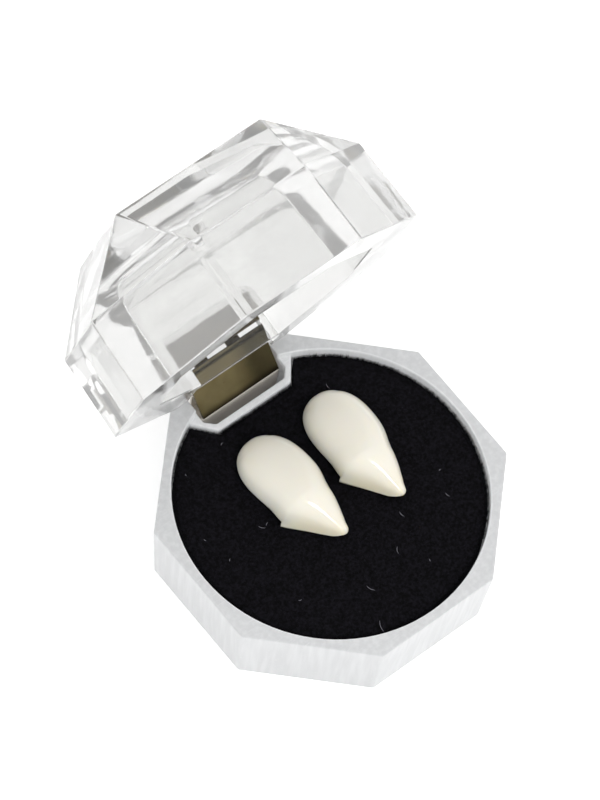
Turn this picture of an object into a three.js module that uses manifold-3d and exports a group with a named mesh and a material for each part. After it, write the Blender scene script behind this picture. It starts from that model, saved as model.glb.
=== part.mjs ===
// A pair of vampire fang tooth caps lying in an eight-sided clear acrylic keepsake box with a hinged lid.
// Units are millimetres. +Z is up, the hinge is at +Y, the front of the box at -Y.
// The origin is the middle of the box's underside. The lid stands open, as in the photo.
import * as THREE from "three";
import { mergeVertices } from "three/addons/utils/BufferGeometryUtils.js";
import { ConvexGeometry } from "three/addons/geometries/ConvexGeometry.js";
import Module from "manifold-3d";

const wasm = await Module();
wasm.setup();

// The box's base
const RIM_APOTHEM = 20.5; // middle to flat at the rim, so 41 mm across the flats
const BASE_H = 11.1; // underside to rim
const BASE_TAPER = 0.7; // how much smaller the foot is, on each side
const FLOOR = 7.0; // a thick moulded block, so the pad lies in a shallow well
const WALL = 1.25; // at the middle of each side, where it is thinnest
const WELL_R = RIM_APOTHEM - WALL;
const PAST = 1.0; // how far a cut runs past the face that it opens
const WELL_SIDES = 96;

// The sheet-metal hinge
const AXIS_INSET = 0.5; // the axis lies this far in from the back face
const AXIS_UP = 0.65; // and this far above the base's rim
const AXIS_Y = RIM_APOTHEM - AXIS_INSET;
const SHEET = 0.33;
const PIN_R = 0.2;
const PIN_FIT = 0.06;
const KNUCKLE_BORE = PIN_R + PIN_FIT;
const KNUCKLE_WALL = 0.2;
const KNUCKLE_R = KNUCKLE_BORE + KNUCKLE_WALL;
const LEAF_HALF = 6.0;
const LEAF_NEAR = 2.85; // the leaf's upright starts this far from the axis
const FLANGE_NEAR = 3.82; // and its fold lies this far from it
const BASE_LEAF_END = 9.1;
const LID_LEAF_END = 7.1;
const BITE = 0.1; // how far two joined bars of one sheet run into each other
// Knuckles along the pin: the plate's in the middle, the lid's beside it, the base's outermost
const KNUCKLE_GAP = 0.2;
const PLATE_KNUCKLE_HALF = 1.3;
const BASE_KNUCKLE = 2.0;
const BASE_KNUCKLE_END = LEAF_HALF - 2 * KNUCKLE_GAP;
const BASE_KNUCKLE_START = BASE_KNUCKLE_END - BASE_KNUCKLE;
const BASE_KNUCKLES = bothSides(BASE_KNUCKLE_START, BASE_KNUCKLE_END);
const LID_KNUCKLES = bothSides(PLATE_KNUCKLE_HALF + KNUCKLE_GAP, BASE_KNUCKLE_START - KNUCKLE_GAP);
const PIN_HALF = BASE_KNUCKLE_END + KNUCKLE_GAP;
const KNUCKLE_SIDES = 20;
const PIN_SIDES = 16;
// The spring plate
const PLATE_SHEET = 0.3;
const PLATE_OFF = KNUCKLE_R + 0.08; // its back face passes this far in front of the axis
const PLATE_HALF = FLANGE_NEAR - 0.49; // half its height, so that it turns clear of the folds
const PLATE_SIDE = LEAF_HALF - 0.2;
const PLATE_NECK = KNUCKLE_R - 0.06; // half the height of the tongue that its knuckle rolls from

// The hinge pocket, cut into the base and into the lid alike, and its wider slot through the back wall
const POCKET_SIDE_GAP = 0.3;
const POCKET_HALF = LEAF_HALF + POCKET_SIDE_GAP;
const POCKET_BACK_WALL = 2.5;
const POCKET_BACK_Y = RIM_APOTHEM - POCKET_BACK_WALL;
const LEAF_BACK_GAP = 0.22;
const LEAF_FRONT_Y = POCKET_BACK_Y - LEAF_BACK_GAP - SHEET;
const POCKET_WIDTH = 2.35;
const POCKET_FRONT_Y = POCKET_BACK_Y - POCKET_WIDTH;
const POCKET_CORNER = 1.1; // its two front corners are cut off by this much
const RIM_GAP = 0.3; // between the two rims when shut
const BASE_POCKET_DEPTH = BASE_LEAF_END - AXIS_UP + 0.55;
const LID_POCKET_DEPTH = LID_LEAF_END + AXIS_UP - RIM_GAP + 0.75;
const LID_POCKET_ROUND = 1.9; // radius of its two top corners
const BASE_SLOT_DEPTH = FLANGE_NEAR + SHEET - AXIS_UP + 0.3;
const LID_SLOT_DEPTH = FLANGE_NEAR + SHEET + AXIS_UP - RIM_GAP + 0.4;

// The boss on the well's back wall that holds the hinge's lower leaf
const BOSS_WALL = 0.9;
const BOSS_FRONT_Y = POCKET_FRONT_Y - BOSS_WALL;
const BOSS_FRONT_HALF = POCKET_HALF - 0.7;
const BOSS_FLARE = 0.811; // how far each side leans out for each mm towards the back
const BOSS_DROP = 0.7; // its top lies this far below the rim

// The lid, drawn shut and then swung open
const BAND_H = 10.94;
const BAND_TAPER = 0.44;
const TABLE_HALF = 10.77; // the square table on top of the crown
const LID_H = 19.57;
const OPEN_DEG = 76.8;
const CROWN_THICK = 7.37; // acrylic over the hollow's flat top
const HOLLOW_H = LID_H - CROWN_THICK;
const HOLLOW_WALL = 1.35; // between the hollow and the hinge pocket
const HOLLOW_APOTHEM = POCKET_FRONT_Y - HOLLOW_WALL;
// The lid's eight-sided hollow: share of its height above the lid's rim, share of its middle to flat
const HOLLOW = [
  [0.0, 1.0],
  [0.754, 0.965],
  [0.877, 0.93],
  [0.959, 0.867],
  [1.0, 0.783],
];

// The flocked pad
const PAD_FIT = 0.3;
const PAD_R = WELL_R - PAD_FIT;
const PAD_DROP = 1.1; // from the rim down to the pad
const PAD_TOP = BASE_H - PAD_DROP;
const PAD_SIDES = 80;

// The fangs, lying on the pad with the hollow side down
const FANG_Z = PAD_TOP + PAD_FIT;
const FANG_LENGTH = 16.9;
const FANG_HALF = 4.17; // half its greatest width
const FANG_DEPTH = 4.6; // from the pad to its highest point
const FANG_WALL = 1.0;
const FANG_ROOT_Y = BOSS_FRONT_Y - 3.35;
const LEFT_FANG_X = -3.85;
const RIGHT_FANG_X = 6.75;
// Place of each root end, and how far the tip is turned towards +X
const FANGS = [
  { name: "fang_left", x: LEFT_FANG_X, yaw: 4.1 },
  { name: "fang_right", x: RIGHT_FANG_X, yaw: -2.2 },
];
// Shares, from the root to the tip: place along the length, half width of FANG_HALF, then the heights
// of the top, of the widest line and of the underside, each of FANG_DEPTH, then how far the middle
// is set over towards +X, of FANG_HALF: back at the heel and forward at the tip
const FANG_OUTSIDE = [
  [0.0, 0.17, 0.11, 0.035, 0.02, 0.0],
  [0.015, 0.35, 0.22, 0.03, 0.012, 0.0],
  [0.042, 0.545, 0.35, 0.028, 0.008, 0.0],
  [0.084, 0.715, 0.48, 0.03, 0.01, 0.0],
  [0.144, 0.857, 0.615, 0.04, 0.018, 0.0],
  [0.204, 0.938, 0.715, 0.055, 0.034, 0.0],
  [0.275, 0.985, 0.805, 0.08, 0.058, 0.0],
  [0.359, 1.0, 0.885, 0.115, 0.093, 0.0],
  [0.443, 0.986, 0.945, 0.15, 0.128, 0.0],
  [0.527, 0.955, 0.982, 0.175, 0.153, -0.03],
  [0.587, 0.925, 0.997, 0.185, 0.163, -0.08],
  [0.617, 0.91, 1.0, 0.185, 0.163, -0.1],
  [0.64, 0.95, 0.993, 0.07, 0.008, -0.11],
  [0.677, 0.88, 0.96, 0.06, 0.0, -0.09],
  [0.731, 0.76, 0.895, 0.06, 0.0, -0.03],
  [0.79, 0.625, 0.8, 0.065, 0.007, 0.025],
  [0.85, 0.49, 0.69, 0.08, 0.028, 0.06],
  [0.904, 0.365, 0.575, 0.105, 0.06, 0.09],
  [0.952, 0.255, 0.465, 0.15, 0.11, 0.12],
  [0.982, 0.165, 0.37, 0.19, 0.15, 0.14],
  [1.0, 0.07, 0.3, 0.215, 0.19, 0.15],
];
// The same for the hollow, whose widths and heights are shares of the outside's less FANG_WALL
const FANG_HOLLOW = [
  [0.057, 0.406, 0.235, -0.032, -0.19, 0.0],
  [0.09, 0.609, 0.356, -0.016, -0.159, 0.0],
  [0.15, 0.806, 0.521, 0.032, -0.127, 0.0],
  [0.21, 0.916, 0.651, 0.05, -0.095, 0.0],
  [0.275, 0.975, 0.762, 0.07, -0.063, 0.0],
  [0.359, 1.0, 0.87, 0.11, -0.02, 0.0],
  [0.449, 0.978, 0.935, 0.15, 0.02, 0.0],
  [0.539, 0.938, 0.971, 0.2, 0.06, -0.04],
  [0.605, 0.906, 0.971, 0.26, 0.12, -0.09],
  [0.629, 0.869, 0.955, 0.44, 0.27, -0.1],
  [0.683, 0.69, 0.86, 0.45, 0.28, -0.08],
  [0.731, 0.47, 0.74, 0.45, 0.31, -0.03],
  [0.766, 0.21, 0.6, 0.46, 0.38, 0.0],
];
const ARCH_POWER = 2.25; // above 2, so the front of the tooth is a little flatter than an ellipse
const ARCH_STEPS = 20;
const UNDER_STEPS = 10;

const RIM_Z = BASE_H;
const AXIS_Z = BASE_H + AXIS_UP;
const LID_RIM_Z = BASE_H + RIM_GAP;

// One stretch of the pin on each side of the middle, as [start, end].
function bothSides(near, far) {
  return [[-far, -near], [near, far]];
}

// From a three.js geometry to a manifold-3d solid, and back.
function solid(geometry) {
  const bare = geometry.index ? geometry.toNonIndexed() : geometry.clone();
  for (const name of ["normal", "uv"]) bare.deleteAttribute(name);
  const g = mergeVertices(bare, 1e-4);
  return new wasm.Manifold(
    new wasm.Mesh({
      numProp: 3,
      vertProperties: new Float32Array(g.attributes.position.array),
      triVerts: new Uint32Array(g.index.array),
    }),
  );
}

function geometryOf(made) {
  const m = made.getMesh();
  const points = new Float32Array(m.numVert * 3);
  for (let i = 0; i < m.numVert; i += 1)
    for (let k = 0; k < 3; k += 1) points[i * 3 + k] = m.vertProperties[i * m.numProp + k];
  const g = new THREE.BufferGeometry();
  g.setAttribute("position", new THREE.BufferAttribute(points, 3));
  g.setIndex(new THREE.BufferAttribute(new Uint32Array(m.triVerts), 1));
  g.computeVertexNormals();
  return g;
}

// A ring of eight corners whose flats face the axes.
function octagon(apothem, z) {
  const r = apothem / Math.cos(Math.PI / 8);
  return Array.from({ length: 8 }, (_, k) => {
    const a = Math.PI / 8 + (k * Math.PI) / 4;
    return new THREE.Vector3(r * Math.cos(a), r * Math.sin(a), z);
  });
}

function square(half, z) {
  return [[1, 1], [-1, 1], [-1, -1], [1, -1]].map(([x, y]) => new THREE.Vector3(x * half, y * half, z));
}

const hull = (points) => solid(new ConvexGeometry(points));

// A box from its low and high corners.
function box(x0, x1, y0, y1, z0, z1) {
  const g = new THREE.BoxGeometry(x1 - x0, y1 - y0, z1 - z0);
  return solid(g.translate((x0 + x1) / 2, (y0 + y1) / 2, (z0 + z1) / 2));
}

// An upright prism over a flat outline of [x, y] corners.
function prism(outline, z0, z1) {
  const shape = new THREE.Shape(outline.map(([x, y]) => new THREE.Vector2(x, y)));
  const g = new THREE.ExtrudeGeometry(shape, { depth: z1 - z0, bevelEnabled: false });
  return solid(g.translate(0, 0, z0));
}

function disc(r, z0, z1, sides) {
  const g = new THREE.CylinderGeometry(r, r, z1 - z0, sides);
  return solid(g.rotateX(Math.PI / 2).translate(0, 0, (z0 + z1) / 2));
}

// A round bar along X on the hinge's axis.
function bar(r, x0, x1, sides) {
  const g = new THREE.CylinderGeometry(r, r, x1 - x0, sides);
  return solid(g.rotateZ(Math.PI / 2).translate((x0 + x1) / 2, AXIS_Y, AXIS_Z));
}

// A skin over a row of closed rings with the same number of points, shut at both ends.
function loft(rings) {
  const n = rings[0].length;
  const middle = (ring) => ring.reduce((a, p) => a.clone().add(p), new THREE.Vector3()).divideScalar(n);
  const points = [...rings.flat(), middle(rings[0]), middle(rings[rings.length - 1])];
  const first = n * rings.length;
  const faces = [];
  for (let r = 0; r + 1 < rings.length; r += 1)
    for (let i = 0; i < n; i += 1) {
      const j = (i + 1) % n;
      const [a, b, c, d] = [r * n + i, r * n + j, (r + 1) * n + i, (r + 1) * n + j];
      faces.push(a, b, c, b, d, c);
    }
  for (let i = 0; i < n; i += 1) {
    const j = (i + 1) % n;
    const last = (rings.length - 1) * n;
    faces.push(first, j, i, first + 1, last + i, last + j);
  }
  const g = new THREE.BufferGeometry().setFromPoints(points);
  g.setIndex(faces);
  return solid(g);
}

const joined = (...solids) => solids.reduce((a, b) => a.add(b));

// The pocket's plan, with its two front corners cut off.
function pocketPlan(backY) {
  const [h, f, c] = [POCKET_HALF, POCKET_FRONT_Y, POCKET_CORNER];
  return [[h, f + c], [h, backY], [-h, backY], [-h, f + c], [-h + c, f], [h - c, f]];
}

// The boss's plan, or with grow above 0 the pad's notch around it. Both run out past the back wall.
function bossPlan(grow) {
  const front = BOSS_FRONT_Y - grow;
  const back = RIM_APOTHEM + PAST;
  const slant = grow * Math.hypot(1, BOSS_FLARE) - grow * BOSS_FLARE;
  const half = (y) => BOSS_FRONT_HALF + slant + (y - front) * BOSS_FLARE;
  return [[half(front), front], [half(back), back], [-half(back), back], [-half(front), front]];
}

function baseShell() {
  const block = hull([...octagon(RIM_APOTHEM - BASE_TAPER, 0), ...octagon(RIM_APOTHEM, RIM_Z)]);
  const boss = prism(bossPlan(0), FLOOR - PAST, RIM_Z - BOSS_DROP);
  const well = disc(WELL_R, FLOOR, RIM_Z + PAST, WELL_SIDES).subtract(boss);
  const pocket = prism(pocketPlan(POCKET_BACK_Y), RIM_Z - BASE_POCKET_DEPTH, RIM_Z + PAST);
  const slot = prism(pocketPlan(RIM_APOTHEM + PAST), RIM_Z - BASE_SLOT_DEPTH, RIM_Z + PAST);
  return block.subtract(well).subtract(pocket).subtract(slot);
}

// The lid's pocket has a round-cornered top, as moulded.
function lidPocket() {
  const [h, r, top] = [POCKET_HALF, LID_POCKET_ROUND, LID_POCKET_DEPTH];
  const shape = new THREE.Shape();
  shape.moveTo(-h, -PAST);
  shape.lineTo(h, -PAST);
  shape.lineTo(h, top - r);
  shape.absarc(h - r, top - r, r, 0, Math.PI / 2, false);
  shape.absarc(-h + r, top - r, r, Math.PI / 2, Math.PI, false);
  const depth = POCKET_BACK_Y - POCKET_FRONT_Y;
  const g = new THREE.ExtrudeGeometry(shape, { depth, bevelEnabled: false, curveSegments: 6 });
  return solid(g.rotateX(Math.PI / 2).translate(0, POCKET_BACK_Y, LID_RIM_Z));
}

function lidHollow() {
  const ring = (up, share) => octagon(HOLLOW_APOTHEM * share, LID_RIM_Z + up);
  return loft([ring(-PAST, 1), ...HOLLOW.map(([up, share]) => ring(HOLLOW_H * up, share))]);
}

function lidShell() {
  const block = hull([
    ...octagon(RIM_APOTHEM, LID_RIM_Z),
    ...octagon(RIM_APOTHEM - BAND_TAPER, LID_RIM_Z + BAND_H),
    ...square(TABLE_HALF, LID_RIM_Z + LID_H),
  ]);
  const slot = prism(pocketPlan(RIM_APOTHEM + PAST), LID_RIM_Z - PAST, LID_RIM_Z + LID_SLOT_DEPTH);
  return block.subtract(lidHollow()).subtract(lidPocket()).subtract(slot);
}

// Rolled knuckles, bored through for the pin.
const pinHole = () => bar(KNUCKLE_BORE, -LEAF_HALF - PAST, LEAF_HALF + PAST, PIN_SIDES);
const knuckle = (x0, x1) => bar(KNUCKLE_R, x0, x1, KNUCKLE_SIDES);

// A folded leaf: an upright in the pocket, a fold to the back, and arms that roll round the pin.
// side is -1 for the base's leaf, which hangs below the axis, and 1 for the lid's.
function leaf(side, end, knuckles) {
  const z = (a, b) => [AXIS_Z + side * a, AXIS_Z + side * b].sort((p, q) => p - q);
  const upright = box(-LEAF_HALF, LEAF_HALF, LEAF_FRONT_Y, LEAF_FRONT_Y + SHEET, ...z(LEAF_NEAR, end));
  const backY = AXIS_Y + SHEET;
  const fold = box(-LEAF_HALF, LEAF_HALF, LEAF_FRONT_Y, backY, ...z(FLANGE_NEAR, FLANGE_NEAR + SHEET));
  const arms = knuckles.map(([x0, x1]) =>
    joined(box(x0, x1, AXIS_Y, backY, ...z(BITE, FLANGE_NEAR + BITE)), knuckle(x0, x1)),
  );
  return joined(upright, fold, ...arms).subtract(pinHole());
}

// The spring plate, drawn upright as it stands with the lid shut.
function springPlate() {
  const back = AXIS_Y - PLATE_OFF;
  const [low, high] = [AXIS_Z - PLATE_HALF, AXIS_Z + PLATE_HALF];
  const flat = box(-PLATE_SIDE, PLATE_SIDE, back - PLATE_SHEET, back, low, high);
  const [x0, x1] = [-PLATE_KNUCKLE_HALF, PLATE_KNUCKLE_HALF];
  const neck = box(x0, x1, back - BITE, AXIS_Y, AXIS_Z - PLATE_NECK, AXIS_Z + PLATE_NECK);
  return joined(flat, neck, knuckle(x0, x1)).subtract(pinHole());
}

function flockPad() {
  const notch = prism(bossPlan(PAD_FIT), FLOOR - PAST, PAD_TOP + PAST);
  return disc(PAD_R, FLOOR + PAD_FIT, PAD_TOP, PAD_SIDES).subtract(notch);
}

// One cross-section of a fang: over the front of the tooth, then back along its underside.
function fangRing(along, middle, half, top, wide, under) {
  const ring = [];
  const curve = (t, low) => {
    const [c, s] = [Math.cos(t), Math.abs(Math.sin(t))];
    const power = 2 / ARCH_POWER;
    const x = middle + half * Math.sign(c) * Math.abs(c) ** power;
    const z = low ? wide - (wide - under) * s ** 0.5 : wide + (top - wide) * s ** power;
    ring.push(new THREE.Vector3(x, -along, z));
  };
  for (let i = 0; i < ARCH_STEPS; i += 1) curve((Math.PI * i) / ARCH_STEPS, false);
  for (let i = 0; i < UNDER_STEPS; i += 1) curve(Math.PI + (Math.PI * i) / UNDER_STEPS, true);
  return ring;
}

// A closed form from a table of shares, with its greatest half width and depth.
function fangForm(rows, half, depth) {
  const ring = ([a, h, top, wide, under, over]) =>
    fangRing(a * FANG_LENGTH, over * FANG_HALF, h * half, top * depth, wide * depth, under * depth);
  return loft(rows.map(ring));
}

function fang({ x, yaw }) {
  const inside = fangForm(FANG_HOLLOW, FANG_HALF - FANG_WALL, FANG_DEPTH - FANG_WALL);
  const g = geometryOf(fangForm(FANG_OUTSIDE, FANG_HALF, FANG_DEPTH).subtract(inside));
  return g.rotateZ(THREE.MathUtils.degToRad(yaw)).translate(x, FANG_ROOT_Y, FANG_Z);
}

const part = new THREE.Group();

function addMesh(parent, name, geometry, look) {
  const mesh = new THREE.Mesh(geometry, new THREE.MeshStandardMaterial(look));
  mesh.name = name;
  parent.add(mesh);
  return mesh;
}

// A group that turns the pieces in it about the hinge's axis.
function swung(degrees) {
  const outer = new THREE.Group();
  outer.position.set(0, AXIS_Y, AXIS_Z);
  outer.rotation.x = -THREE.MathUtils.degToRad(degrees);
  const inner = new THREE.Group();
  inner.position.set(0, -AXIS_Y, -AXIS_Z);
  outer.add(inner);
  part.add(outer);
  return inner;
}

const CLEAR = { color: 0xe9eef0, roughness: 0.05, transparent: true, opacity: 0.35 };
const FLOCK = { color: 0x141318, roughness: 1.0 };
const IVORY = { color: 0xe8e5d6, roughness: 0.25 };
const STEEL = { color: 0x8a8272, roughness: 0.35, metalness: 1.0 };

addMesh(part, "base_shell", geometryOf(baseShell()), CLEAR);
addMesh(part, "flock_pad", geometryOf(flockPad()), FLOCK);
for (const one of FANGS) addMesh(part, one.name, fang(one), IVORY);
addMesh(part, "base_leaf", geometryOf(leaf(-1, BASE_LEAF_END, BASE_KNUCKLES)), STEEL);
addMesh(part, "hinge_pin", geometryOf(bar(PIN_R, -PIN_HALF, PIN_HALF, PIN_SIDES)), STEEL);

addMesh(swung(OPEN_DEG / 2), "spring_plate", geometryOf(springPlate()), STEEL);

const lid = swung(OPEN_DEG);
addMesh(lid, "lid_shell", geometryOf(lidShell()), CLEAR);
addMesh(lid, "lid_leaf", geometryOf(leaf(1, LID_LEAF_END, LID_KNUCKLES)), STEEL);

export default part;
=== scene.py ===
"""The looks of a pair of vampire fang caps that lie in a hinged clear box.

Sizes are in millimetres, and a mesh is turned to metres when it is made. The frame is the part's own: the
origin is the middle of the box's underside, +Z is up, the hinge is at +Y and the front of the box at -Y.
"""
import logging
import math
from dataclasses import dataclass
from enum import Enum

import bmesh
import bpy
import numpy as np
from mathutils import Matrix, Vector


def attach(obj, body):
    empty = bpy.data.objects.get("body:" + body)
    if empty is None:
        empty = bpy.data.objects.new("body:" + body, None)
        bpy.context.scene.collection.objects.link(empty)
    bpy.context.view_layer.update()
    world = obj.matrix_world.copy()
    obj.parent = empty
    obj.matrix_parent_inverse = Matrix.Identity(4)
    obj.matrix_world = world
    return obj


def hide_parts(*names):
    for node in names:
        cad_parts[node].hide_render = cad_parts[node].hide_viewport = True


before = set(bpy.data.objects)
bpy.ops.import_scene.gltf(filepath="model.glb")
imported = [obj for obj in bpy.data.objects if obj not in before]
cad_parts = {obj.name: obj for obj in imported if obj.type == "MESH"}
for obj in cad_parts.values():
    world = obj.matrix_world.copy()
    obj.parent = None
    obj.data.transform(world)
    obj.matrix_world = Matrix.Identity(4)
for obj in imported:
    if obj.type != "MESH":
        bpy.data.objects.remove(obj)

log = logging.getLogger("fang_box")
MM = 0.001  # metres in a millimetre


# Small helpers


def linear(hex_colour: str) -> tuple[float, float, float, float]:
    """Turns an sRGB hex colour to linear light.

    Args:
        hex_colour: six hex digits, such as "e8e5d6".

    Returns:
        Red, green, blue and an alpha of 1.
    """
    srgb = np.array([int(hex_colour[i : i + 2], 16) / 255 for i in (0, 2, 4)])
    low = srgb / 12.92
    high = ((srgb + 0.055) / 1.055) ** 2.4
    return (*np.where(srgb <= 0.04045, low, high).tolist(), 1.0)


def add_node(tree: bpy.types.NodeTree, kind: str, links: dict | None = None, **settings) -> bpy.types.Node:
    """Adds one shader node.

    Args:
        tree: the material's or the world's node tree.
        kind: the node's type, such as "ShaderNodeTexNoise".
        links: from the name of one of its inputs to the output socket that feeds it.
        settings: values for its inputs, with _ for a space, or for its own properties.

    Returns:
        The new node.
    """
    node = tree.nodes.new(kind)
    for key, value in settings.items():
        label = key.replace("_", " ")
        if label in node.inputs:
            node.inputs[label].default_value = value
        else:
            setattr(node, key, value)
    for label, socket in (links or {}).items():
        tree.links.new(socket, node.inputs[label])
    return node


def new_material(name: str, **values) -> tuple[bpy.types.Material, bpy.types.Node]:
    """Makes a material and sets on its shader the values that are the same all over it.

    Args:
        name: the material's name.
        values: values for the shader's inputs, with _ for a space.

    Returns:
        The material and its shader.
    """
    material = bpy.data.materials.new(name)
    material.use_nodes = True
    shader = material.node_tree.nodes["Principled BSDF"]
    for key, value in values.items():
        shader.inputs[key.replace("_", " ")].default_value = value
    return material, shader


def pattern(
    tree: bpy.types.NodeTree, size_mm: float, detail: float, stretch: tuple = (1.0, 1.0, 1.0)
) -> bpy.types.NodeSocket:
    """Adds a cloudy pattern with features of one size, drawn out where stretch is below 1.

    Args:
        tree: the material's node tree.
        size_mm: the size of its features.
        detail: how many finer layers it has.
        stretch: how fast it varies along each axis.

    Returns:
        The pattern's value, from 0 to 1.
    """
    place_on = add_node(tree, "ShaderNodeTexCoord")
    drawn = add_node(tree, "ShaderNodeMapping", {"Vector": place_on.outputs["Object"]}, Scale=stretch)
    clouds = add_node(
        tree,
        "ShaderNodeTexNoise",
        {"Vector": drawn.outputs["Vector"]},
        Scale=1 / (size_mm * MM),
        Detail=detail,
    )
    return clouds.outputs["Fac"]


def ease(t: np.ndarray) -> np.ndarray:
    """Goes from 0 to 1 with flat ends: 3 t squared less 2 t cubed, with t held in 0 to 1."""
    t = np.clip(t, 0.0, 1.0)
    return t * t * (3 - 2 * t)


def skin(points: np.ndarray, wrap: bool) -> tuple[np.ndarray, np.ndarray]:
    """Joins a grid of points with quads.

    Args:
        points: rows by columns by 3; the columns run round a ring where wrap is true.
        wrap: whether the last column joins the first.

    Returns:
        The points as one list, and the quads as rows of four numbers.
    """
    rows, columns = points.shape[:2]
    index = np.arange(rows * columns).reshape(rows, columns)
    beside = np.roll(index, -1, axis=1)
    if not wrap:
        index, beside = index[:, :-1], beside[:, :-1]
    quads = np.stack([index[:-1], beside[:-1], beside[1:], index[1:]], axis=-1).reshape(-1, 4)
    return points.reshape(-1, 3), quads


def new_mesh(
    name: str,
    points: np.ndarray,
    faces: list,
    smooth: bool = True,
    merge_m: float = 1e-8,
    flank_shade: np.ndarray | None = None,
) -> bpy.types.Mesh:
    """Makes a mesh, with its faces pointing outwards where it is closed.

    Args:
        name: the mesh's name.
        points: its points, in millimetres.
        faces: rows of point numbers.
        smooth: whether its faces are shaded as one curved surface.
        merge_m: points closer than this, in metres, become one.
        flank_shade: for each point, how much painted shade it gets, which a finish may read under this name.

    Returns:
        The mesh, in metres.
    """
    mesh = bpy.data.meshes.new(name)
    mesh.from_pydata((points * MM).tolist(), [], faces)
    if flank_shade is not None:
        mesh.attributes.new("flank_shade", "FLOAT", "POINT").data.foreach_set("value", flank_shade.astype(np.float32))
    shape = bmesh.new()
    shape.from_mesh(mesh)
    bmesh.ops.remove_doubles(shape, verts=shape.verts, dist=merge_m)
    bmesh.ops.recalc_face_normals(shape, faces=shape.faces)
    shape.to_mesh(mesh)
    shape.free()
    mesh.polygons.foreach_set("use_smooth", np.full(len(mesh.polygons), smooth))
    mesh.update()
    return mesh


class Body(str, Enum):
    """The rigid bodies of the part."""

    BASE = "base"
    SPRING = "spring"
    LID = "lid"


class Slot(str, Enum):
    """The record's material slots."""

    ACRYLIC = "clear_acrylic"
    FLOCK = "black_flock"
    RESIN = "ivory_resin"
    STEEL = "plated_steel"
    BRONZE = "bronze_plated_spring"


def place(name: str, mesh: bpy.types.Mesh, body: Body, material: bpy.types.Material) -> bpy.types.Object:
    """Puts a finished mesh in the scene.

    Args:
        name: the piece's name.
        mesh: its mesh, in the part's frame.
        body: the body that it moves with.
        material: its finish.

    Returns:
        The new piece.
    """
    piece = bpy.data.objects.new(name, mesh)
    bpy.context.scene.collection.objects.link(piece)
    mesh.materials.clear()
    mesh.materials.append(material)
    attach(piece, body.value)
    return piece


# Finishes


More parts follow.
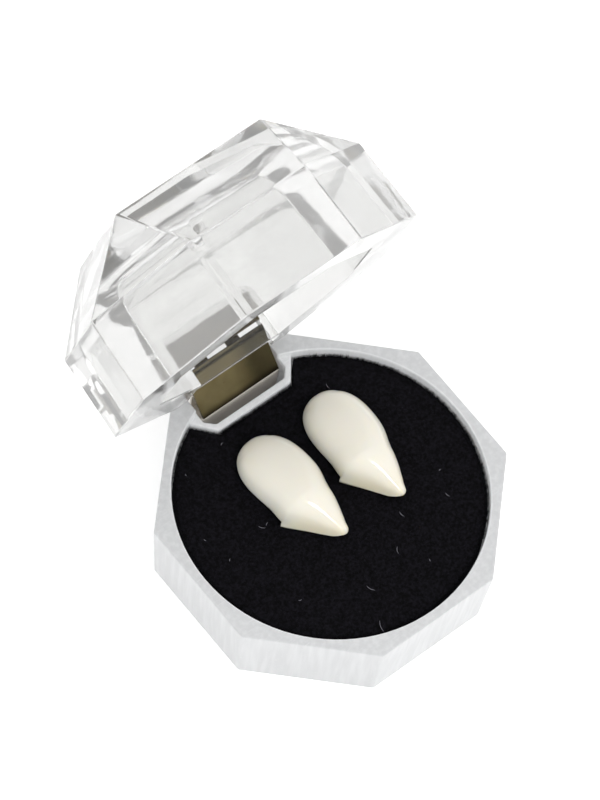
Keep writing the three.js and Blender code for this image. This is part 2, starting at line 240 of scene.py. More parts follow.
@dataclass(frozen=True)
class MouldedAcrylic:
    """Moulded acrylic: a refracting solid, with faint upright flow lines and ripples from the mould."""

    name: str
    tint: str
    streak: str  # the colour of the flow lines and scuffs
    roughness: float
    clear: float  # 1 is quite clear, and less is cloudier
    ior: float = 1.49
    ripple_mm: float = 6.0
    ripple_depth_mm: float = 0.02
    flow_mm: float = 0.7
    scuff_mm: float = 0.25
    painted_glow: float = 0.0  # painted glow: how brightly the walls inside the well glow, from emission and not from a lamp
    well_mm: float = 19.4
    pad_mm: float = 9.9  # the walls show above this height only
    soft_mm: tuple[float, float] = (0.3, 0.1)  # how softly that painted glow starts, in height and in radius
    painted_glow_colour: str = "f4f6f8"
    # half the width and the top of a quite clear patch by the hinge, and how far it takes to fade out
    window_mm: tuple[float, float] = (0.0, 0.0)
    fade_mm: float = 5.0

    def paint_glow(self, tree: bpy.types.NodeTree, shader: bpy.types.Node) -> None:
        """Paints a glow on the surfaces within the well's radius, to make them a little brighter, as cast
        edges are.

        Args:
            tree: the material's node tree.
            shader: its shader.
        """
        place_on = add_node(tree, "ShaderNodeTexCoord")
        flat = add_node(
            tree, "ShaderNodeMapping", {"Vector": place_on.outputs["Object"]}, Scale=(1.0, 1.0, 0.0)
        )
        radius = add_node(
            tree, "ShaderNodeVectorMath", {"Vector": flat.outputs["Vector"]}, operation="LENGTH"
        )
        parts = add_node(tree, "ShaderNodeSeparateXYZ", {"Vector": place_on.outputs["Object"]})
        above = add_node(
            tree,
            "ShaderNodeMapRange",
            {"Value": parts.outputs["Z"]},
            From_Min=(self.pad_mm - self.soft_mm[0]) * MM,
            From_Max=self.pad_mm * MM,
            To_Max=self.painted_glow,
        )
        inside = add_node(
            tree,
            "ShaderNodeMapRange",
            {"Value": radius.outputs["Value"], "To Min": above.outputs["Result"]},
            From_Min=self.well_mm * MM,
            From_Max=(self.well_mm + self.soft_mm[1]) * MM,
            To_Max=0.0,
        )
        shader.inputs["Emission Color"].default_value = linear(self.painted_glow_colour)
        tree.links.new(inside.outputs["Result"], shader.inputs["Emission Strength"])

    def clear_window(self, tree: bpy.types.NodeTree, shader: bpy.types.Node) -> None:
        """Leaves the haze out over the hinge's leaf, where the wall was never rubbed.

        Args:
            tree: the material's node tree.
            shader: its shader.
        """
        half, top = self.window_mm
        place_on = add_node(tree, "ShaderNodeTexCoord")
        parts = add_node(tree, "ShaderNodeSeparateXYZ", {"Vector": place_on.outputs["Object"]})
        aside = add_node(tree, "ShaderNodeMath", {"Value": parts.outputs["X"]}, operation="ABSOLUTE")
        across = add_node(
            tree,
            "ShaderNodeMapRange",
            {"Value": aside.outputs["Value"]},
            From_Min=half * MM,
            From_Max=(half + self.fade_mm) * MM,
            To_Min=1.0,
            To_Max=self.clear,
            interpolation_type="SMOOTHSTEP",
        )
        weight = add_node(
            tree,
            "ShaderNodeMapRange",
            {"Value": parts.outputs["Z"], "To Min": across.outputs["Result"]},
            From_Min=top * MM,
            From_Max=(top + self.fade_mm) * MM,
            To_Max=self.clear,
            interpolation_type="SMOOTHSTEP",
        )
        tree.links.new(weight.outputs["Result"], shader.inputs["Transmission Weight"])

    def make(self) -> bpy.types.Material:
        """Builds the material: flow lines and a few scuffs in the colour, and slow ripples in the surface.

        Returns:
            The material.
        """
        material, shader = new_material(
            self.name, Transmission_Weight=self.clear, IOR=self.ior, Roughness=self.roughness
        )
        tree = material.node_tree
        flow = pattern(tree, self.flow_mm, 2.0, (1.0, 1.0, 0.06))
        scuffs = pattern(tree, self.scuff_mm, 1.0, (0.08, 1.0, 1.0))
        lines = add_node(tree, "ShaderNodeMapRange", {"Value": flow}, From_Min=0.4, From_Max=0.7)
        marks = add_node(tree, "ShaderNodeMapRange", {"Value": scuffs}, From_Min=0.66, From_Max=0.74)
        both = add_node(tree, "ShaderNodeMath", {"Value": lines.outputs["Result"]}, operation="MAXIMUM")
        tree.links.new(marks.outputs["Result"], both.inputs[1])
        blend = add_node(
            tree,
            "ShaderNodeMix",
            {"Factor": both.outputs["Value"]},
            data_type="RGBA",
            A=linear(self.tint),
            B=linear(self.streak),
        )
        tree.links.new(blend.outputs["Result"], shader.inputs["Base Color"])
        # painted glow on the walls inside the well
        if self.painted_glow > 0:
            self.paint_glow(tree, shader)
        if self.window_mm[0] > 0:
            self.clear_window(tree, shader)
        bump = add_node(
            tree,
            "ShaderNodeBump",
            {"Height": pattern(tree, self.ripple_mm, 1.0)},
            Strength=1.0,
            Distance=self.ripple_depth_mm * MM,
        )
        tree.links.new(bump.outputs["Normal"], shader.inputs["Normal"])
        return material


@dataclass(frozen=True)
class IvoryResin:
    """Dental acrylic resin, cast and polished by hand: opaque ivory, a little translucent, glossy."""

    name: str = "cast_dental_resin"
    face: str = "e6e2d6"
    # painted shade: the yellower colour of the low sides and the underside, most of all on the -X side
    edge: str = "e6dfc7"
    ior: float = 1.5
    roughness: float = 0.1
    milky: float = 0.35  # how much of the light goes in and comes out again beside where it went in
    spread: tuple[float, float, float] = (1.0, 0.75, 0.4)  # red goes furthest
    depth_mm: float = 0.9

    def make(self) -> bpy.types.Material:
        """Builds the material: painted shade makes the low sides, the underside and the margin a little
        yellower than the face, most of all on the -X side.

        Returns:
            The material.
        """
        material, shader = new_material(
            self.name,
            IOR=self.ior,
            Roughness=self.roughness,
            Subsurface_Weight=self.milky,
            Subsurface_Radius=self.spread,
            Subsurface_Scale=self.depth_mm * MM,
        )
        tree = material.node_tree
        # how much painted shade each point gets
        shade = add_node(tree, "ShaderNodeAttribute", attribute_name="flank_shade")
        blend = add_node(
            tree,
            "ShaderNodeMix",
            {"Factor": shade.outputs["Fac"]},
            data_type="RGBA",
            A=linear(self.face),
            B=linear(self.edge),
        )
        tree.links.new(blend.outputs["Result"], shader.inputs["Base Color"])
        return material


@dataclass(frozen=True)
class BlackFlock:
    """Rayon flock on foam: short upright fibres that swallow the light, so it is nearly black and dull."""

    name: str = "black_rayon_flock"
    deep: str = "050506"
    tips: str = "131217"
    clump_mm: float = 0.35

    def make(self) -> bpy.types.Material:
        """Builds the material: two near blacks in soft clumps, with a faint sheen at grazing angles.

        Returns:
            The material.
        """
        material, shader = new_material(
            self.name, Roughness=1.0, Specular_IOR_Level=0.05, Sheen_Weight=0.02, Sheen_Roughness=0.6
        )
        tree = material.node_tree
        clouds = pattern(tree, self.clump_mm, 4.0)
        clumps = add_node(tree, "ShaderNodeMapRange", {"Value": clouds}, From_Min=0.38, From_Max=0.66)
        blend = add_node(
            tree,
            "ShaderNodeMix",
            {"Factor": clumps.outputs["Result"]},
            data_type="RGBA",
            A=linear(self.deep),
            B=linear(self.tips),
        )
        tree.links.new(blend.outputs["Result"], shader.inputs["Base Color"])
        return material


@dataclass(frozen=True)
class PlatedSheet:
    """Rolled sheet metal with a thin plating: fine lines along the rolling direction, along the hinge."""

    name: str
    colour: str
    stain: str
    roughness: float
    shine: float = 1.0  # below 1 for a satin finish that scatters as well
    dark_end: float = 0.0  # how much of the colour is lost towards the +X end
    end_dark_mm: tuple[float, float] = (-0.6, 3.4)  # from where along X it starts to where it is full
    # the colour that the +X end darkens towards
    end_dark_colour: str = "0a0a09"
    line_mm: float = 0.12
    line_share: tuple[float, float] = (0.8, 1.25)  # the rolling lines vary the roughness between these
    stain_mm: float = 3.0
    painted_shade_lines: tuple[tuple[float, float], ...] = ()  # painted shade: dark lines along the sheet's folds and gaps: height and half width, mm
    shade_line_dark: float = 0.95
    shade_line_colour: str = "16130c"

    def paint_shade_line(
        self,
        tree: bpy.types.NodeTree,
        height: bpy.types.NodeSocket,
        colour: bpy.types.NodeSocket,
        line: tuple[float, float],
    ) -> bpy.types.NodeSocket:
        """Paints shade on the plating along one fold.

        Args:
            tree: the material's node tree.
            height: the height of each point.
            colour: the plating's colour.
            line: the fold's height and the line's half width, in millimetres.

        Returns:
            The darkened colour.
        """
        middle, half = line
        off = add_node(tree, "ShaderNodeMath", {"Value": height}, operation="SUBTRACT")
        off.inputs[1].default_value = middle * MM
        away = add_node(tree, "ShaderNodeMath", {"Value": off.outputs["Value"]}, operation="ABSOLUTE")
        share = add_node(
            tree,
            "ShaderNodeMapRange",
            {"Value": away.outputs["Value"]},
            From_Max=half * MM,
            To_Min=self.shade_line_dark,
            To_Max=0.0,
            interpolation_type="SMOOTHSTEP",
        )
        darker = add_node(
            tree,
            "ShaderNodeMix",
            {"Factor": share.outputs["Result"], "A": colour},
            data_type="RGBA",
            B=linear(self.shade_line_colour),
        )
        return darker.outputs["Result"]

    def make(self) -> bpy.types.Material:
        """Builds the material: rolling lines in the roughness, and stains, a darker +X end and painted shade
        along the folds in the colour.

        Returns:
            The material.
        """
        material, shader = new_material(self.name, Metallic=self.shine)
        tree = material.node_tree
        rough = add_node(
            tree,
            "ShaderNodeMapRange",
            {"Value": pattern(tree, self.line_mm, 2.0, (0.03, 1.0, 1.0))},
            To_Min=self.roughness * self.line_share[0],
            To_Max=self.roughness * self.line_share[1],
        )
        tree.links.new(rough.outputs["Result"], shader.inputs["Roughness"])
        blend = add_node(
            tree,
            "ShaderNodeMix",
            {"Factor": pattern(tree, self.stain_mm, 3.0)},
            data_type="RGBA",
            A=linear(self.colour),
            B=linear(self.stain),
        )
        place_on = add_node(tree, "ShaderNodeTexCoord")
        parts = add_node(tree, "ShaderNodeSeparateXYZ", {"Vector": place_on.outputs["Object"]})
        # darker towards the +X end
        along = add_node(
            tree,
            "ShaderNodeMapRange",
            {"Value": parts.outputs["X"]},
            From_Min=self.end_dark_mm[0] * MM,
            From_Max=self.end_dark_mm[1] * MM,
            To_Max=self.dark_end,
            interpolation_type="SMOOTHSTEP",
        )
        darker = add_node(
            tree,
            "ShaderNodeMix",
            {"Factor": along.outputs["Result"], "A": blend.outputs["Result"]},
            data_type="RGBA",
            B=linear(self.end_dark_colour),
        )
        colour = darker.outputs["Result"]
        # painted shade along the folds
        for line in self.painted_shade_lines:
            colour = self.paint_shade_line(tree, parts.outputs["Z"], colour, line)
        tree.links.new(colour, shader.inputs["Base Color"])
        return material


@dataclass(frozen=True)
class Dust:
    """Lint: pale fibres a few hundredths of a millimetre thick, drawn a little thicker so that they show."""

    name: str = "lint_fibre"
    colour: str = "6d6c74"
    roughness: float = 0.9

    def make(self) -> bpy.types.Material:
        """Builds the material: plain, dull and grey."""
        return new_material(self.name, Base_Color=linear(self.colour), Roughness=self.roughness)[0]


# The clear box


@dataclass(frozen=True)
class ClearShell:
    """One half of the box: the CAD solid's own shape, with its moulded edges rounded."""

    node: str
    name: str
    body: Body
    edge_mm: float = 0.2
    edge_steps: int = 3
    merge_mm: float = 0.002
    flat_deg: float = 0.6
    sharp_deg: float = 28.0

    def build(self, material: bpy.types.Material) -> bpy.types.Object:
        """Copies the solid's mesh, joins its loose triangles into whole faces and rounds its edges.

        Args:
            material: the acrylic.

        Returns:
            The finished half.
        """
        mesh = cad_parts[self.node].data.copy()
        mesh.name = self.name
        shape = bmesh.new()
        shape.from_mesh(mesh)
        bmesh.ops.remove_doubles(shape, verts=shape.verts, dist=self.merge_mm * MM)
        bmesh.ops.dissolve_limit(
            shape, angle_limit=math.radians(self.flat_deg), verts=shape.verts, edges=shape.edges
        )
        shape.to_mesh(mesh)
        shape.free()
        mesh.polygons.foreach_set("use_smooth", np.full(len(mesh.polygons), True))
        mesh.set_sharp_from_angle(angle=math.radians(self.sharp_deg))
        piece = place(self.name, mesh, self.body, material)
        bevel = piece.modifiers.new("moulded_edges", "BEVEL")
        bevel.width = self.edge_mm * MM
        bevel.segments = self.edge_steps
        bevel.limit_method = "ANGLE"
        bevel.angle_limit = math.radians(self.sharp_deg)
        bevel.harden_normals = True
        bevel.use_clamp_overlap = False
        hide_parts(self.node)
        return piece


# The fang caps


@dataclass(frozen=True)
class FangCap:
    """One tooth cap: a broad veneer from the root end, and past its heel a full cone down to the tip.

    Places along the cap are counted from the root end towards the tip.
    """

    node: str
    x: float
    yaw_deg: float
    y: float = 11.4
    z: float = 10.3
    length: float = 16.9
    half: float = 4.17
    depth: float = 4.6
    veneer: float = 6.2  # the root end is a rounded outline up to here
    heel: float = 10.5  # the veneer's back edge steps down here
    step: float = 0.35
    waist: float = 0.095  # how much of its half width it loses from the veneer to the heel
    flare: float = 0.07  # how far the cone stands out past the veneer at the heel, on its -X side
    taper: float = 0.85  # how much of its half width the cone loses on its way to the tip
    kick: float = 0.45  # how far the middle is set over to -X at the heel
    kick_after: float = 0.3  # the kick is largest this far past the heel
    kick_width: float = 1.7
    lean: float = 0.62  # how far the tip is set over to +X
    blunt: float = 0.56  # the tip's radius
    mellow: float = 1.4  # the face turns into the cone over this much to either side
    ridge_bend: float = 0.22  # how softly the ridge turns down at the heel
    ridge_drop: float = 0.674  # how much of its height the ridge loses from the heel to the tip
    crest: float = 0.75  # how high the veneer's margin lies at the heel
    low: float = 0.19  # how high the cone's widest line lies
    lift: float = 0.82  # how far the underside rises towards the tip
    tip_height: float = 1.05
    hollow: tuple[float, float] = (0.8, 11.2)  # the hollow starts to open and to close here
    hollow_ease: float = 1.6  # and takes this far to do it
    wall: float = 1.0
    arch_power: float = 2.25
    lip: float = 0.12

    def stations(self) -> np.ndarray:
        """Works out places along the cap, close together at the root end, the heel and the tip.

        Returns:
            The places, from 0 to the cap's length.
        """
        turn = np.pi * 0.72
        to_heel = self.heel * (1 - np.cos(np.linspace(0, turn, 90))) / (1 - math.cos(turn))
        over = self.heel + self.step * np.linspace(0.12, 1, 9)
        rest = self.length - self.heel - self.step
        to_tip = self.heel + self.step + rest * np.sin(np.linspace(0, np.pi / 2, 90)[1:])
        return np.concatenate([to_heel, over, to_tip])

    def outline(self, s: np.ndarray) -> dict[str, np.ndarray]:
        """Works out the measures of each cross-section.

        The half width rises at the root end as a blunt oval, 1 - (1 - s/veneer)^2.5 to the power 1/2.2,
        narrows to its waist at the heel, and then falls evenly to a blunt tip. The middle swings aside at
        the heel as a bell curve, and aside the other way with x^1.6, with x from the heel to the tip. The
        top rises as the root of 1 - (1 - s/heel)^1.8 and falls along a hyperbola that is soon straight.
        Soft is the half width averaged over a millimetre or so to either side, less near the tip. The
        margin climbs in an S from the pad to the heel and steps back down there.

        Args:
            s: places along the cap.

        Returns:
            The arrays middle, half, soft, top, base (where the arch springs from), edge (where the margin
            cuts it), under (the underside) and over (0 before the heel and 1 after it).
        """
        held = np.clip((s - self.heel - self.step) / (self.length - self.heel - self.step), 0, 1)
        over = ease((s - self.heel) / self.step)
        blunt = np.sqrt(1 - np.clip((s - self.length + self.blunt) / self.blunt, 0, 1) ** 2)
        oval = (1 - (1 - np.clip(s / self.veneer, 0, 1)) ** 2.5) ** (1 / 2.2)
        waist = 1 - self.waist * np.clip((s - self.veneer) / (self.heel - self.veneer), 0, 1) ** 1.6
        half = self.half * oval * waist * (1 - self.taper * held) * blunt
        reach = np.minimum(self.mellow, np.minimum(s, self.length - s))[:, None] * np.linspace(-1, 1, 17)
        soft = np.interp(s[:, None] + reach, s, half).mean(axis=1)
        bell = np.exp(-(((s - self.heel - self.kick_after) / self.kick_width) ** 2))
        middle = self.lean * held**1.6 - self.kick * bell
        rise = np.sqrt(1 - (1 - np.clip(s / self.heel, 0, 1)) ** 1.8)
        past = np.clip((s - self.heel) / (self.length - self.heel), 0, 1)
        bend = self.ridge_bend
        fall = 1 - self.ridge_drop * (np.sqrt(past**2 + bend**2) - bend) / (math.sqrt(1 + bend**2) - bend)
        top = self.lip + (self.depth - self.lip) * rise * fall
        base = self.lip + (self.low - self.lip) * ease(s / self.heel) + 0.5 * held**3
        margin = self.lip + (self.crest - self.lip) * ease(s / self.heel) ** 1.3
        edge = np.maximum(margin * (1 - over), base)
        under = (margin - 0.1) * (1 - over) + self.lift * held**3.4 * over
        top = self.tip_height + (top - self.tip_height) * np.where(held > 0, blunt, 1)
        near = ease((held - 0.8) / 0.2)
        base = base * (1 - near) + self.tip_height * near
        edge = edge * (1 - near) + self.tip_height * near
        under = under * (1 - near) + (self.tip_height - 0.3 * blunt) * near
        top, under = np.maximum(top, edge), np.minimum(under, edge)
        return dict(
            middle=middle, half=half, soft=soft, top=top, base=base, edge=edge, under=under, over=over
        )

    def surface(self) -> tuple[np.ndarray, np.ndarray, np.ndarray]:
        """Works out the cap's skin as one grid, along the cap by round the section.

        Each section is a superellipse arch over the face, |cos|^p across and sin^p up, which starts where
        the margin cuts it. Past the heel its low -X side stands out by the flare. Then come a rounded edge
        and the hollow's ceiling back across, which lies one wall inside the face and dies out at both ends.

        Returns:
            The points, the quads, and for each point how far it lies down the flank, from 0 to 1.
        """
        s = self.stations()
        shape = {key: value[:, None] for key, value in self.outline(s).items()}
        power = 2 / self.arch_power
        rise = np.maximum(shape["top"] - shape["base"], 1e-6)
        start = np.arcsin(np.clip((shape["edge"] - shape["base"]) / rise, 0, 1) ** (1 / power))
        face = start + (np.pi - 2 * start) * np.linspace(0, 1, 97)[None, :]
        back = np.linspace(np.pi, 0, 49)[None, 1:-1]
        at_edge = (1 - np.sin(face)) ** 3
        low_side = np.where(np.cos(face) < 0, (1 - np.sin(face)) ** 6, 0)
        across = np.sign(np.cos(face)) * np.abs(np.cos(face)) ** power
        width = shape["soft"] + (shape["half"] - shape["soft"]) * at_edge
        width += shape["half"] * self.flare * shape["over"] * low_side
        x_face = shape["middle"] + width * across
        z_face = shape["base"] + rise * np.sin(face) ** power
        inside = np.clip(shape["half"] - 0.25, 0, None) / np.maximum(shape["half"], 1e-6)
        opened, closed = (ease((s - spot) / self.hollow_ease) for spot in self.hollow)
        open_up = (opened * (1 - closed))[:, None]
        ceiling = np.clip(shape["top"] - self.wall - shape["under"], 0, None) * open_up
        out = 1 + self.flare * shape["over"] * np.where(np.cos(back) < 0, np.cos(back) ** 4, 0)
        x_back = shape["half"] * np.cos(back) * (1 - (1 - inside) * np.abs(np.cos(back)) ** 0.3) * out
        x_back = x_back + shape["middle"]
        z_back = shape["under"] + ceiling * np.sin(back) ** 0.7
        grid = np.zeros((len(s), face.shape[1] + back.shape[1], 3))
        grid[:, :, 0] = np.hstack([x_face, x_back])
        grid[:, :, 1] = -s[:, None]
        grid[:, :, 2] = np.hstack([z_face, z_back])
        # painted shade, more the lower a point lies: in full on the -X side and underneath, less on the +X
        # side and towards the root end
        down = 1 - ease((z_face - 0.5) / (0.72 * self.depth))
        flank_shade = np.hstack([down * np.where(np.cos(face) < 0, 1.0, 0.45), 1 + 0 * x_back])
        flank_shade *= 0.2 + 0.8 * ease((s[:, None] - 7.5) / 3.0)
        turn = math.radians(self.yaw_deg)
        turned = np.array([[math.cos(turn), -math.sin(turn)], [math.sin(turn), math.cos(turn)]])
        grid[:, :, :2] = grid[:, :, :2] @ turned.T
        grid += np.array([self.x, self.y, self.z])
        points, quads = skin(grid, wrap=True)
        return points, quads, flank_shade.reshape(-1)

    def build(self, material: bpy.types.Material) -> bpy.types.Object:
        """Makes the cap's mesh, closes its two ends and stores how much painted shade each point gets.

        Args:
            material: the resin.

        Returns:
            The finished cap.
        """
        points, quads, flank_shade = self.surface()
        ring = len(points) // len(self.stations())
        faces = quads.tolist() + [list(range(ring)), list(range(len(points) - ring, len(points)))]
        mesh = new_mesh(self.node + "_cap", points, faces, merge_m=1e-7, flank_shade=flank_shade)
        piece = place(self.node + "_cap", mesh, Body.BASE, material)
        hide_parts(self.node)
        return piece


# The flocked pad


@dataclass(frozen=True)
class FlockedPad:
    """The foam pad: a disc with a notch round the hinge's boss, a soft edge and a coat of upright fibres."""

    radius: float = 18.98
    top: float = 10.0
    bottom: float = 7.3
    edge: float = 0.45
    notch_y: float = 14.45
    notch_half: float = 5.74
    notch_flare: float = 0.811
    rays: int = 720
    waves: int = 24
    wave_rate: float = 1.6  # radians a millimetre, give or take
    bump: float = 0.05
    fibres: int = 36000
    fibre_mm: float = 0.32
    edge_fibre_mm: float = 0.8
    fibre_width_mm: float = 0.05
    sunk_mm: float = 0.02  # their feet start this far inside the foam
    splay: float = 0.8  # how far the edge's fibres lean outwards
    tousle: float = 0.35  # how far each leans any way at random
    tufts: int = 300
    seed: int = 11

    def reach(self, angle: np.ndarray) -> np.ndarray:
        """Works out how far the pad's outline lies from the middle.

        The outline is a circle, cut by the notch's front line, y = notch_y, and by its two slanted sides,
        |x| = half + flare times (y - notch_y). Each ray from the middle stops at the nearest of them.

        Args:
            angle: the rays' angles from +X, anticlockwise.

        Returns:
            The distance along each ray.
        """
        x, y = np.abs(np.cos(angle)), np.sin(angle)
        front = np.where(y > 1e-6, self.notch_y / np.maximum(y, 1e-6), np.inf)
        in_front = x * front <= self.notch_half
        lean = x - self.notch_flare * y
        side = (self.notch_half - self.notch_flare * self.notch_y) / np.where(np.abs(lean) < 1e-9, 1e-9, lean)
        on_side = (y > 0) & (side > 0) & (side * y >= self.notch_y)
        cut = np.where(in_front & (y > 0), front, np.where(on_side, side, np.inf))
        return np.minimum(cut, self.radius)

    def body(self, material: bpy.types.Material) -> bpy.types.Object:
        """Makes the pad: its section runs over the top, round a quarter circle, down the side and back in.

        The top swells a little, by the mean of some sine waves that run in random directions.

        Args:
            material: the flock.

        Returns:
            The finished pad.
        """
        angle = np.linspace(0, 2 * np.pi, self.rays, endpoint=False)
        reach = self.reach(angle)
        share = np.linspace(0.03, 1, 60)
        bend = np.linspace(0, np.pi / 2, 8)[1:]
        inner = reach - self.edge
        rows = [np.stack([inner * t, 0 * reach + self.top], -1) for t in share]
        for turn in bend:
            drop = self.edge * (1 - math.cos(turn))
            rows.append(np.stack([inner + self.edge * np.sin(turn), 0 * reach + self.top - drop], -1))
        for share_out in (1.0, 0.5):
            rows.append(np.stack([reach * share_out, 0 * reach + self.bottom], -1))
        plane = np.array(rows)
        grid = np.stack([plane[..., 0] * np.cos(angle), plane[..., 0] * np.sin(angle), plane[..., 1]], -1)
        rng = np.random.default_rng(self.seed)
        waves = rng.normal(0, self.wave_rate, (self.waves, 2))
        phases = rng.uniform(0, 2 * np.pi, self.waves)
        swell = np.sin(grid[..., :2] @ waves.T + phases).mean(-1)
        grid[: len(share) - 2, :, 2] += self.bump * swell[: len(share) - 2]
        points, quads = skin(grid, wrap=True)
        ends = [list(range(self.rays)), list(range(len(points) - self.rays, len(points)))]
        mesh = new_mesh("flocked_pad", points, quads.tolist() + ends)
        piece = place("flocked_pad", mesh, Body.BASE, material)
        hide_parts("flock_pad")
        return piece

    def coat(self, material: bpy.types.Material) -> bpy.types.Object:
        """Makes the flock: thin three-sided spikes that lean a little, denser at the pad's edge.

        Args:
            material: the flock.

        Returns:
            All the fibres as one piece.
        """
        rng = np.random.default_rng(self.seed + 1)
        count = self.fibres
        angle = rng.uniform(0, 2 * np.pi, count)
        share = np.sqrt(rng.uniform(0, 1, count))
        share[: count // 3] = 1.0
        reach = self.reach(angle) - rng.uniform(0, self.edge, count) * (share == 1.0)
        foot = np.stack([np.cos(angle) * reach * share, np.sin(angle) * reach * share], -1)
        drop = np.clip(np.linalg.norm(foot, axis=1) - (self.reach(angle) - self.edge), 0, self.edge)
        height = self.top - self.edge + np.sqrt(np.maximum(self.edge**2 - drop**2, 0))
        feet = np.column_stack([foot, height - self.sunk_mm])
        outwards = np.column_stack([np.cos(angle), np.sin(angle)]) * (drop / self.edge)[:, None]
        aside = outwards * self.splay + rng.normal(0, self.tousle, (count, 2))
        lean = np.column_stack([aside, np.ones(count)])
        lean /= np.linalg.norm(lean, axis=1)[:, None]
        tuft = rng.uniform(0.25, 1.0, self.tufts)[(angle / (2 * np.pi) * self.tufts).astype(int)]
        long = np.where(share == 1.0, self.edge_fibre_mm * tuft, self.fibre_mm)
        tip = feet + lean * (long * rng.uniform(0.4, 1.0, count))[:, None]
        spin = rng.uniform(0, 2 * np.pi, count)[:, None] + np.array([0, 2, 4]) * np.pi / 3
        ring = np.stack([np.cos(spin), np.sin(spin), 0 * spin], -1) * self.fibre_width_mm / 2
        points = np.concatenate([feet[:, None] + ring, tip[:, None]], axis=1).reshape(-1, 3)
        first = np.arange(count)[:, None, None] * 4
        faces = (first + np.array([[0, 1, 3], [1, 2, 3], [2, 0, 3]])).reshape(-1, 3)
        mesh = bpy.data.meshes.new("flock_fibres")
        mesh.from_pydata((points * MM).tolist(), [], faces.tolist())
        piece = place("flock_fibres", mesh, Body.BASE, material)
        return piece


@dataclass(frozen=True)
class Lint:
    """Loose specks and short curled fibres that lie on the flock, where the photograph shows them."""

    # the pixel of each one, its length in millimetres and the way it lies in degrees
    SPECKS = (
        ((222, 444), 0.5, 20),
        ((186, 475), 0.35, 80),
        ((262, 527), 0.9, 130),
        ((267, 524), 0.5, 30),
        ((447.6, 494.5), 0.7, 100),
        ((402, 514), 0.9, 95),
        ((398, 550), 1.0, 60),
        ((371, 588), 1.2, 115),
        ((382, 626), 1.6, 70),
        ((440, 470), 0.4, 10),
        ((328, 386), 0.8, 85),
        ((230, 560), 0.4, 45),
        ((300, 600), 0.4, 160),
        ((350, 640), 0.35, 20),
        ((205, 540), 0.35, 110),
        ((430, 560), 0.35, 75),
    )
    z: float = 10.3
    thick: float = 0.07
    curl: float = 0.12
    steps: int = 9
    sides: int = 6

    def build(self, studio: "Studio", material: bpy.types.Material) -> bpy.types.Object:
        """Makes each fibre a thin tube along a shallow arc: the length by the sine of the way along it.

        Args:
            studio: finds the place that each pixel shows.
            material: the fibres' finish.

        Returns:
            All the fibres as one piece.
        """
        along = np.linspace(-0.5, 0.5, self.steps)
        turn = np.linspace(0, 2 * np.pi, self.sides, endpoint=False)
        points, faces = [], []
        for pixel, length, angle in self.SPECKS:
            middle = studio.point_at(pixel, self.z)
            way = np.array([math.cos(math.radians(angle)), math.sin(math.radians(angle)), 0])
            aside = np.array([-way[1], way[0], 0])
            bow = self.curl * length * np.cos(along * np.pi)
            path = middle + np.outer(along * length, way) + np.outer(bow, aside)
            round_it = np.outer(np.cos(turn), aside) + np.outer(np.sin(turn), [0, 0, 1])
            thick = self.thick / 2 * np.sqrt(1.02 - (2 * along) ** 2)
            grid = path[:, None] + round_it[None] * thick[:, None, None]
            flat, quads = skin(grid, wrap=True)
            ends = [list(range(self.sides)), list(range(len(flat) - self.sides, len(flat)))]
            start = sum(len(p) for p in points)
            faces += [[start + i for i in face] for face in quads.tolist() + ends]
            points.append(flat)
        piece = place("lint", new_mesh("lint", np.concatenate(points), faces), Body.BASE, material)
        return piece


# The hinge


@dataclass(frozen=True)
class SheetHinge:
    """The sheet-metal hinge: two folded leaves, the pin and the spring plate that covers the gap.

    The leaves are satin nickel, and the lid's is a darker brown. The plate's bronze has painted shade along
    its lower edge and at the fold near its top, and it is darker towards one end.
    """

    steel: PlatedSheet = PlatedSheet("satin_nickel_plated_steel", "f4eee6", "e2dbd0", 0.5, shine=0.12)
    bronze: PlatedSheet = PlatedSheet(
        "bronze_plated_spring_steel",
        "8f8360",
        "635a40",
        0.3,
        dark_end=0.66,
        # painted shade along the plate's lower edge and along the fold near its top
        painted_shade_lines=((9.5, 1.0), (14.5, 0.4)),
    )
    # a darker bronze for the lid's leaf
    dark: PlatedSheet = PlatedSheet("dark_bronze_plate", "6a5a38", "3a311d", 0.35)

    def dress(self) -> list[str]:
        """Gives each of the hinge's nodes its finish.

        Returns:
            The names of the dressed nodes.
        """
        steel, bronze, dark = self.steel.make(), self.bronze.make(), self.dark.make()
        looks = {
            "base_leaf": (steel, Slot.STEEL),
            "hinge_pin": (steel, Slot.STEEL),
            "lid_leaf": (dark, Slot.STEEL),
            "spring_plate": (bronze, Slot.BRONZE),
        }
        for node, (finish, slot) in looks.items():
            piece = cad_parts[node]
            piece.data.materials.clear()
            piece.data.materials.append(finish)
        return list(looks)


# The studio


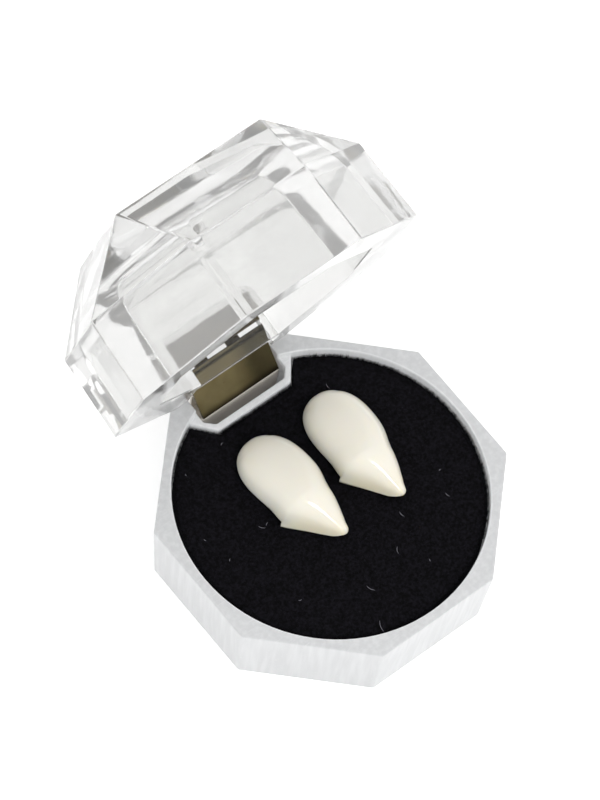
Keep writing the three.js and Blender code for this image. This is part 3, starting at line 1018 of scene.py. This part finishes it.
@dataclass(frozen=True)
class Studio:
    """A white table in soft light, and the camera at the photograph's angle.

    The camera looks at the middle of the box's rim. Its angles and distance, the scale there and the place
    of that point in the 600 by 800 photograph come from fitting the box's corners to the photograph.
    """

    rim_mm: float = 11.1
    azimuth_deg: float = -47.92
    elevation_deg: float = 63.31
    roll_deg: float = 10.41
    distance_mm: float = 757.4
    pixels_per_mm: float = 8.33
    rim_pixel: tuple[float, float] = (331.4, 492.46)
    photo_pixels: tuple[int, int] = (600, 800)
    sensor_mm: float = 36.0
    floor_mm: float = 1500.0
    floor_sides: int = 96
    floor_gap_mm: float = 0.02
    low_light: float = 0.87
    high_light: float = 1.08
    horizon: tuple[float, float] = (-0.05, 0.6)  # the room turns from low to high between these heights
    key_spot: tuple[float, float, float] = (-55, -600, 665)
    key_mm: float = 150
    key_watts: float = 1.9
    bounces: int = 24

    def pose(self) -> tuple[Vector, Vector, Vector, Vector]:
        """Works out where the camera stands and how it is turned.

        Returns:
            Its place in millimetres, and its directions to the right, up and back.
        """
        a, e, r = (math.radians(v) for v in (self.azimuth_deg, self.elevation_deg, self.roll_deg))
        back = Vector((math.sin(a) * math.cos(e), -math.cos(a) * math.cos(e), math.sin(e)))
        level = Vector((math.cos(a), math.sin(a), 0))
        up = back.cross(level)
        right = math.cos(r) * level + math.sin(r) * up
        above = -math.sin(r) * level + math.cos(r) * up
        width, height = self.photo_pixels
        aside = (self.rim_pixel[0] - width / 2) / self.pixels_per_mm
        below = (self.rim_pixel[1] - height / 2) / self.pixels_per_mm
        spot = Vector((0, 0, self.rim_mm)) + back * self.distance_mm - right * aside + above * below
        return spot, right, above, back

    def point_at(self, pixel: tuple[float, float], z: float) -> np.ndarray:
        """Finds what a pixel of the photograph shows on a level plane.

        Args:
            pixel: a place in the 600 by 800 photograph, from its top left.
            z: the plane's height.

        Returns:
            The point, in millimetres.
        """
        spot, right, above, back = self.pose()
        width, height = self.photo_pixels
        scale = self.pixels_per_mm * self.distance_mm
        ray = right * (pixel[0] - width / 2) / scale - above * (pixel[1] - height / 2) / scale - back
        return np.array(spot + ray * ((z - spot.z) / ray.z))

    def camera(self) -> None:
        """Makes the camera from the fitted angles."""
        spot, right, above, back = self.pose()
        height = self.photo_pixels[1]
        data = bpy.data.cameras.new("camera")
        data.sensor_width = self.sensor_mm
        data.lens = self.pixels_per_mm * self.distance_mm / height * self.sensor_mm
        data.clip_start, data.clip_end = 0.01, 20.0
        camera = bpy.data.objects.new("camera", data)
        bpy.context.scene.collection.objects.link(camera)
        turn = Matrix((right, above, back)).transposed().to_4x4()
        camera.matrix_world = Matrix.Translation(spot * MM) @ turn
        bpy.context.scene.camera = camera

    def table(self) -> None:
        """Makes the white table that the box stands on."""
        angle = np.linspace(0, 2 * np.pi, self.floor_sides, endpoint=False)
        ring = np.stack([np.cos(angle), np.sin(angle), 0 * angle], -1) * self.floor_mm
        ring[:, 2] -= self.floor_gap_mm
        mesh = new_mesh("table", ring, [list(range(self.floor_sides))], smooth=False)
        material, _ = new_material(
            "white_light_table",
            Base_Color=linear("f7f7f7"),
            Roughness=0.9,
            Specular_IOR_Level=0.1,
            Emission_Color=linear("ffffff"),
            Emission_Strength=0.3,
        )
        mesh.materials.append(material)
        table = bpy.data.objects.new("table", mesh)
        bpy.context.scene.collection.objects.link(table)

    def lamp(self, name: str, spot: tuple, size: float, watts: float) -> None:
        """Adds a square soft light that faces the box.

        Args:
            name: its name.
            spot: its place, in millimetres.
            size: its side, in millimetres.
            watts: its power.
        """
        data = bpy.data.lights.new(name, "AREA")
        data.energy, data.size = watts, size * MM
        lamp = bpy.data.objects.new(name, data)
        bpy.context.scene.collection.objects.link(lamp)
        lamp.location = Vector(spot) * MM
        lamp.rotation_mode = "QUATERNION"
        lamp.rotation_quaternion = Vector(spot).to_track_quat("Z", "Y")

    def light(self) -> None:
        """Makes the white room, a little greyer low down, and its soft key light."""
        world = bpy.data.worlds.new("white_room")
        bpy.context.scene.world = world
        world.use_nodes = True
        tree = world.node_tree
        tree.nodes.clear()
        place_on = add_node(tree, "ShaderNodeTexCoord")
        parts = add_node(tree, "ShaderNodeSeparateXYZ", {"Vector": place_on.outputs["Generated"]})
        height = add_node(
            tree,
            "ShaderNodeMapRange",
            {"Value": parts.outputs["Z"]},
            From_Min=self.horizon[0],
            From_Max=self.horizon[1],
            interpolation_type="SMOOTHSTEP",
        )
        blend = add_node(
            tree,
            "ShaderNodeMix",
            {"Factor": height.outputs["Result"]},
            data_type="RGBA",
            A=(self.low_light, self.low_light, self.low_light, 1),
            B=(self.high_light, self.high_light, self.high_light, 1),
        )
        glow = add_node(tree, "ShaderNodeBackground", {"Color": blend.outputs["Result"]}, Strength=1.0)
        add_node(tree, "ShaderNodeOutputWorld", {"Surface": glow.outputs["Background"]})
        self.lamp("key", self.key_spot, self.key_mm, self.key_watts)

    def set_up(self) -> None:
        """Makes the whole studio."""
        self.camera()
        self.table()
        self.light()
        scene = bpy.context.scene
        scene.view_settings.view_transform = "Standard"
        scene.cycles.max_bounces = scene.cycles.transmission_bounces = self.bounces


def main() -> None:
    """Builds the pieces in order."""
    logging.basicConfig(level=logging.INFO, format="%(name)s: %(message)s")
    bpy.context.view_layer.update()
    clear = MouldedAcrylic(
        "clear_moulded_acrylic",
        "ebebea",
        "efefee",
        0.06,
        0.79,
        ripple_mm=4.0,
        ripple_depth_mm=0.03,
        window_mm=(7.5, 20.0),
    ).make()
    cloudy = MouldedAcrylic("satin_moulded_acrylic", "dfe0e1", "eaebec", 0.3, 0.35, painted_glow=0.13).make()
    for shell, finish in (
        (ClearShell("base_shell", "clear_base", Body.BASE), cloudy),
        (ClearShell("lid_shell", "clear_lid", Body.LID), clear),
    ):
        log.info("%s is made", shell.build(finish).name)
    resin = IvoryResin().make()
    for cap in (FangCap("fang_left", -3.85, 4.1), FangCap("fang_right", 6.75, -2.2)):
        log.info("%s is made", cap.build(resin).name)
    flock = BlackFlock().make()
    pad = FlockedPad()
    log.info("%s is made", pad.body(flock).name)
    log.info("%s is made", pad.coat(flock).name)
    studio = Studio()
    log.info("%s is made", Lint().build(studio, Dust().make()).name)
    log.info("dressed: %s", ", ".join(SheetHinge().dress()))
    studio.set_up()


if __name__ == "__main__":
    main()
